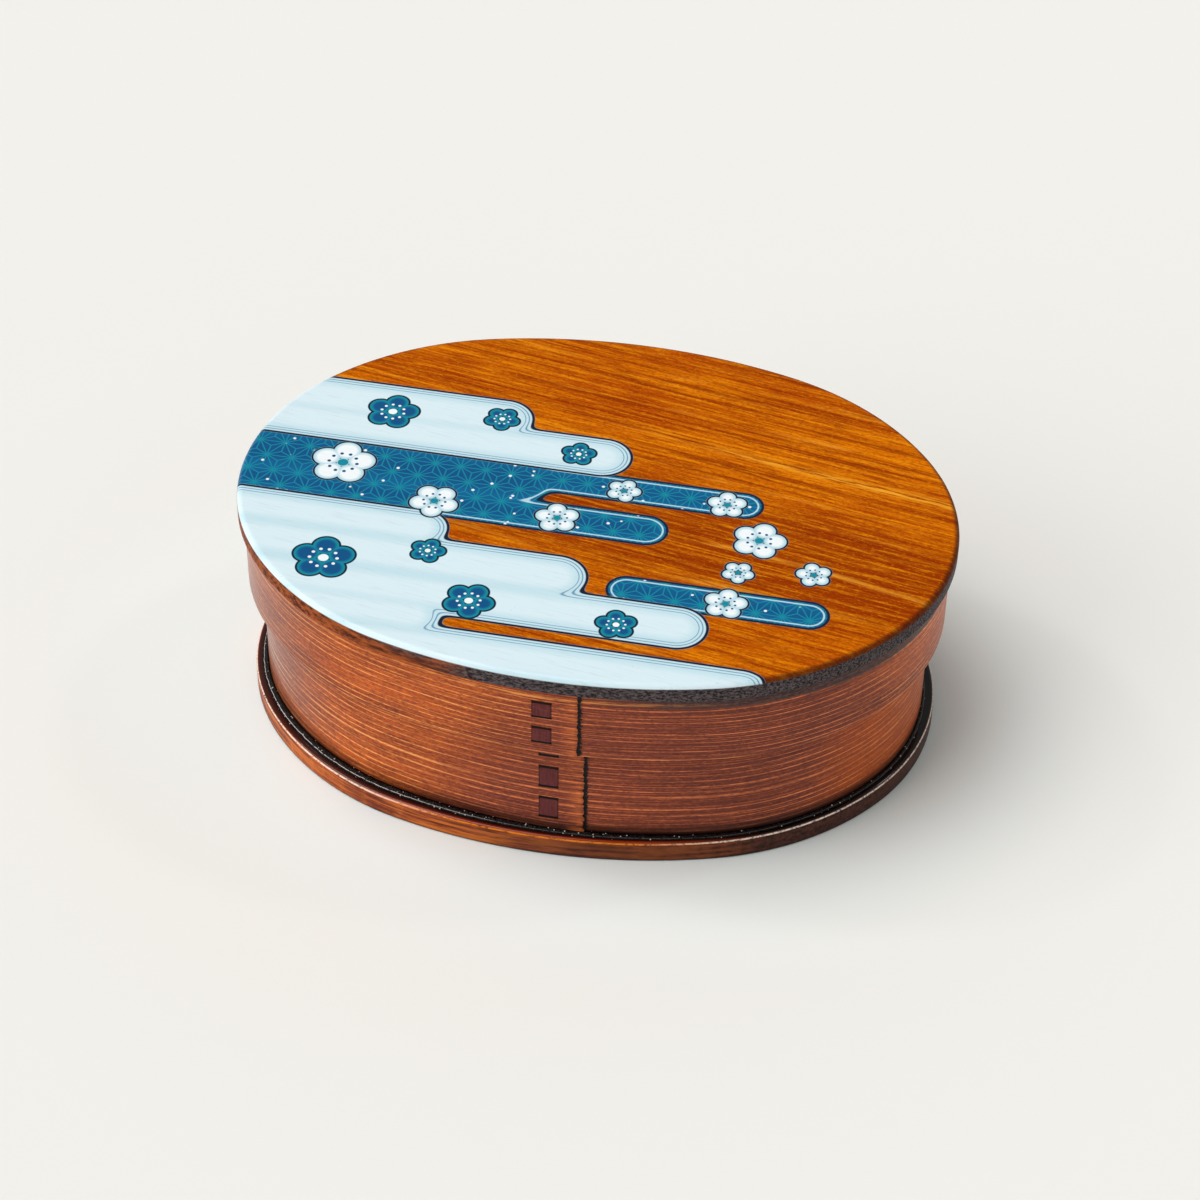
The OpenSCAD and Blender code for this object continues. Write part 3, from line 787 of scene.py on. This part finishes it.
def bands(rows):
    """Distance from the outline of mist bands that flow together, each left, right, back, half width."""
    whole = None
    for left, right, back_by, half_width in rows:
        one = tree.nodes.new("ShaderNodeGroup")
        one.node_tree = band_group
        tree.links.new(sheet, one.inputs["Place"])
        for name, value in (("Left", left), ("Right", right), ("Back", back_by), ("Half width", half_width)):
            one.inputs[name].default_value = value
        whole = one.outputs[0] if whole is None else calc(tree, "SMOOTH_MIN", whole, one.outputs[0], 4.0)
    return whole


def within(distance, edge=0.0, soft=0.12):
    """1 inside an outline, drawn in by the edge, and 0 outside it."""
    return left_over(tree, ramp_up(tree, distance, -edge - soft, -edge + soft))


def drawn_line(distance, edge, width):
    """A line of this width that follows an outline, drawn in by the edge."""
    return within(calc(tree, "ABSOLUTE", calc(tree, "ADD", distance, edge)), -width / 2)


white, pale, ice = stain(244, 250, 252), stain(219, 238, 245), stain(184, 219, 231)
deep, teal, navy = stain(6, 82, 134), stain(14, 138, 160), stain(14, 30, 52)
far_mist = bands([(-130, -30, 27, 8), (-130, -2, 17, 7.5)])
near_mist = bands([(-130, -40, -20, 7), (-130, -4, -31, 8), (-130, 28, -43, 7.5), (-130, -34, -52, 7),
                   (-70, 46, -62, 7.5)])
night = bands([(-130, -20, 3, 8), (-130, 14, -9, 5.5), (-30, 36, 5.5, 4.8), (14, 58, -32, 4.8)])
light = calc(tree, "MINIMUM", far_mist, near_mist)

hemp_group, given, result = new_group("hemp_leaf", ["Place"], ["Size"], ["Distance"])


def hemp_sum(operation, *values):
    """The result of one sum in the hemp-leaf pattern."""
    return calc(hemp_group, operation, *values)


repeat = place_sum(hemp_group, "SCALE", (3.0, math.sqrt(3), 1.0), Scale=given["Size"])
half_repeat = place_sum(hemp_group, "SCALE", repeat, Scale=0.5)
half_back = place_sum(hemp_group, "SCALE", repeat, Scale=-0.5)
stars = []
for start in (given["Place"], place_sum(hemp_group, "ADD", given["Place"], half_repeat)):
    wrapped = three_ways(hemp_group, place_sum(hemp_group, "WRAP", start, half_repeat, half_back))
    squares = [hemp_sum("POWER", hemp_sum("ABSOLUTE", wrapped[way]), 2.0) for way in (0, 1)]
    star_reach = hemp_sum("SQRT", hemp_sum("ADD", *squares))
    stars.append((star_reach, hemp_sum("ARCTAN2", wrapped[1], wrapped[0])))
(reach, bearing), (other_reach, other_bearing) = stars
nearer = hemp_sum("LESS_THAN", other_reach, reach)
reach = hemp_sum("MINIMUM", reach, other_reach)
bearing = hemp_sum("ADD", hemp_sum("MULTIPLY", bearing, hemp_sum("SUBTRACT", 1.0, nearer)),
                   hemp_sum("MULTIPLY", other_bearing, nearer))
sixth = math.pi / 3
from_side = hemp_sum("SUBTRACT", hemp_sum("FLOORED_MODULO", bearing, sixth), sixth / 2)
from_side = hemp_sum("ABSOLUTE", from_side)
from_tip = hemp_sum("SUBTRACT", sixth / 2, from_side)
out = hemp_sum("MULTIPLY", reach, hemp_sum("COSINE", from_tip))
beside = hemp_sum("MULTIPLY", reach, hemp_sum("SINE", from_tip))
past_vein = hemp_sum("SUBTRACT", reach, hemp_sum("MULTIPLY", given["Size"], 1 / math.sqrt(3)))
vein = hemp_sum("MULTIPLY", reach, hemp_sum("SINE", from_side))
vein = hemp_sum("ADD", vein, hemp_sum("MAXIMUM", 0.0, past_vein))
leaf = hemp_sum("MULTIPLY", hemp_sum("SUBTRACT", out, given["Size"]), 0.5)
leaf = hemp_sum("ABSOLUTE", hemp_sum("ADD", leaf, hemp_sum("MULTIPLY", beside, math.sin(sixth))))
rim_line = hemp_sum("SUBTRACT", hemp_sum("MULTIPLY", given["Size"], math.sin(sixth)),
                    hemp_sum("MULTIPLY", reach, hemp_sum("COSINE", from_side)))
nearest = hemp_sum("MINIMUM", hemp_sum("MINIMUM", beside, vein), hemp_sum("MINIMUM", leaf, rim_line))
hemp_group.links.new(nearest, result["Distance"])

hemp = tree.nodes.new("ShaderNodeGroup")
hemp.node_tree = hemp_group
tree.links.new(sheet, hemp.inputs["Place"])
hemp.inputs["Size"].default_value = 6.5
depth = left_over(tree, ramp_up(tree, night, -5.5, -1.0))
ink = blend(tree, depth, stain(7, 98, 148), deep)
ink = blend(tree, partly(tree, within(hemp.outputs[0], -0.17, 0.1), 0.9), ink, teal)
dots = add(tree, "ShaderNodeTexVoronoi", Vector=sheet, Scale=0.30, Randomness=1.0).outputs["Distance"]
ink = blend(tree, within(dots, -0.125, 0.03), ink, white)
ink = blend(tree, within(calc(tree, "ABSOLUTE", calc(tree, "ADD", night, 1.1)), -0.22, 0.1), ink, ice)
ink = blend(tree, drawn_line(night, 0.0, 0.7), ink, navy)
shade = calc(tree, "MULTIPLY", within(light, 0.2, 0.3), left_over(tree, within(light, 3.6, 1.6)))
milk = blend(tree, partly(tree, shade, 0.6), pale, ice)
for echo, width in ((1.1, 0.3), (2.0, 0.22)):
    milk = blend(tree, partly(tree, drawn_line(light, echo, width), 0.8), milk, stain(60, 128, 166))
milk = blend(tree, drawn_line(light, 0.0, 0.75), milk, navy)
ink = blend(tree, within(light, -0.37), ink, milk)
inked = calc(tree, "MAXIMUM", within(light, -0.37), within(night, -0.35))

white_plums = ((-65, 1, 8.5, 0.3), (-39, -9, 6.5, 0.9), (-8, -9, 5.8, 0.1), (6, 5, 4.6, 0.6),
               (32, 5, 5.2, 0.2), (42, -7, 7, 0.5), (57, -17, 4.6, 0.0), (39, -20, 4.2, 0.8),
               (38, -32, 5.6, 0.35))
blue_plums = ((-58, 24, 7, 0.4), (-30, 27, 4.8, 0.8), (-8, 17, 4.6, 0.3), (-60, -36, 8, 0.2),
              (-22, -44, 6.5, 0.7), (14, -45, 5.2, 0.1), (-36, -28, 4.6, 0.5))
for plums, petal, blush, heart in ((white_plums, white, ice, teal), (blue_plums, deep, teal, white)):
    for x, y, size, turn in plums:
        plum = tree.nodes.new("ShaderNodeGroup")
        plum.node_tree = plum_group
        tree.links.new(sheet, plum.inputs["Place"])
        plum.inputs["Middle"].default_value = (x, y, 0)
        plum.inputs["Size"].default_value = size
        plum.inputs["Turn"].default_value = turn
        petals = plum.outputs["Petals"]
        flower = blend(tree, within(petals, 1.0, 0.6), blush, petal)
        stamen = deep if petal is white else white
        flower = blend(tree, within(plum.outputs["Stamens"], 0.0, 0.08), flower, stamen)
        flower = blend(tree, within(plum.outputs["Heart"], 0.0, 0.08), flower, heart)
        flower = blend(tree, drawn_line(petals, 0.0, 0.55), flower, navy)
        ink = blend(tree, within(petals, -0.28), ink, flower)
        inked = calc(tree, "MAXIMUM", inked, within(petals, -0.28))

ink = blend(tree, partly(tree, ramp_up(tree, grain["Fibres"], 0.50, 0.75), 0.10), ink, navy)
printed = calc(tree, "MULTIPLY", inked, ramp_up(tree, height, lid_top - 1.2, lid_top - 0.9))
edge_highlight_and_print_wear = left_over(tree, partly(tree, ramp_up(tree, grain["Pores"], 0.70, 0.78), 0.5))
printed = calc(tree, "MULTIPLY", printed, edge_highlight_and_print_wear)
tree.links.new(blend(tree, printed, wood, ink), surface["Base Color"])
tree.links.new(calc(tree, "SUBTRACT", 0.42, partly(tree, printed, 0.12)), surface["Roughness"])
tree.links.new(partly(tree, printed, 0.35), surface["Coat Weight"])
raise_by(tree, surface, calc(tree, "ADD", partly(tree, grain["Fibres"], 0.6), printed), 0.00004, 0.6)

board_profile = [(24.0, lid_underside), (8.0, lid_underside), (0.9, lid_underside)]
board_profile += round_over(lid_skin + 0.5, lid_underside + 0.5, 0.5, -90, 0, 4)
board_profile += [(lid_skin, lid_underside + 0.9), (lid_skin, lid_top - lid_round - 0.3)]
board_profile += round_over(lid_skin + lid_round, lid_top - lid_round, lid_round, 0, 90, 10)
board_profile += [(lid_round + 0.4, lid_top), (6.0, lid_top), (24.0, lid_top)]
keep_piece("lid_board", sawn_board(board_profile, 0.0), board_cedar, "lid", "lid_wood", "lid_board")


# Stand: a floor of pale paper, a shade cooler round the box, which takes out the warm light that
# the wood throws on it, with soft light from the left, and the camera.

floor_mesh = bpy.data.meshes.new("floor")
floor_mesh.from_pydata([(-9, -9, 0), (9, -9, 0), (9, 9, 0), (-9, 9, 0)], [], [(0, 1, 2, 3)])
floor = bpy.data.objects.new("floor", floor_mesh)
bpy.context.collection.objects.link(floor)
paper = bpy.data.materials.new("pale_paper")
paper.use_nodes = True
tree = paper.node_tree
surface = tree.nodes["Principled BSDF"].inputs
surface["Roughness"].default_value = 0.95
surface["Specular IOR Level"].default_value = 0.0
where = add(tree, "ShaderNodeTexCoord").outputs["Object"]
foot_half_length, foot_half_width = 0.088, 0.065
outward = place_sum(tree, "MULTIPLY", where, (1 / foot_half_length, 1 / foot_half_width, 0.0))
outward = place_sum(tree, "LENGTH", outward)
tone = blend(tree, ramp_up(tree, outward, 1.05, 1.75), stain(241, 247, 245), stain(240, 239, 235))
tree.links.new(tone, surface["Base Color"])
floor_mesh.materials.append(paper)

world = bpy.data.worlds.new("studio")
bpy.context.scene.world = world
world.use_nodes = True
tree = world.node_tree
sky = tree.nodes["Background"]
rise = three_ways(tree, add(tree, "ShaderNodeTexCoord").outputs["Generated"])[2]
glow = blend(tree, ramp_up(tree, rise, 0.06, 0.34), stain(240, 239, 235), stain(158, 158, 156))
tree.links.new(glow, sky.inputs["Color"])


def soft_sun(name, towards, strength, spread):
    """A broad even light from far away."""
    lamp = bpy.data.lights.new(name, "SUN")
    lamp.energy = strength
    lamp.angle = math.radians(spread)
    holder = bpy.data.objects.new(name, lamp)
    holder.matrix_world = Vector(towards).to_track_quat("Z", "Y").to_matrix().to_4x4()
    bpy.context.collection.objects.link(holder)


soft_sun("overhead", (-0.38, -0.06, 0.92), 1.58, 42)
soft_sun("window", (-0.70, 0.10, 0.70), 0.16, 6)
soft_sun("behind_right", (0.55, 0.36, 0.75), 0.12, 6)
soft_sun("front_left", (-0.74, -0.52, 0.43), 0.95, 50)

yaw, pitch, roll, distance = math.radians(11.03), math.radians(40.53), math.radians(0.9), 0.81128
target = Vector((0, 0, 0.030))
back = Vector((math.sin(yaw) * math.cos(pitch), -math.cos(yaw) * math.cos(pitch), math.sin(pitch)))
camera = bpy.data.objects.new("camera", bpy.data.cameras.new("camera"))
camera.data.sensor_width = 36.0
camera.data.lens = 96.0
camera.data.shift_x = 5.16 / 1200
camera.data.shift_y = -8.03 / 1200
camera.data.clip_start = 0.01
camera.data.clip_end = 60
camera.matrix_world = Matrix.Translation(target + back * distance) @ (
    back.to_track_quat("Z", "Y").to_matrix().to_4x4() @ Matrix.Rotation(roll, 4, "Z"))
bpy.context.collection.objects.link(camera)
bpy.context.scene.camera = camera
bpy.context.scene.view_settings.view_transform = "Standard"
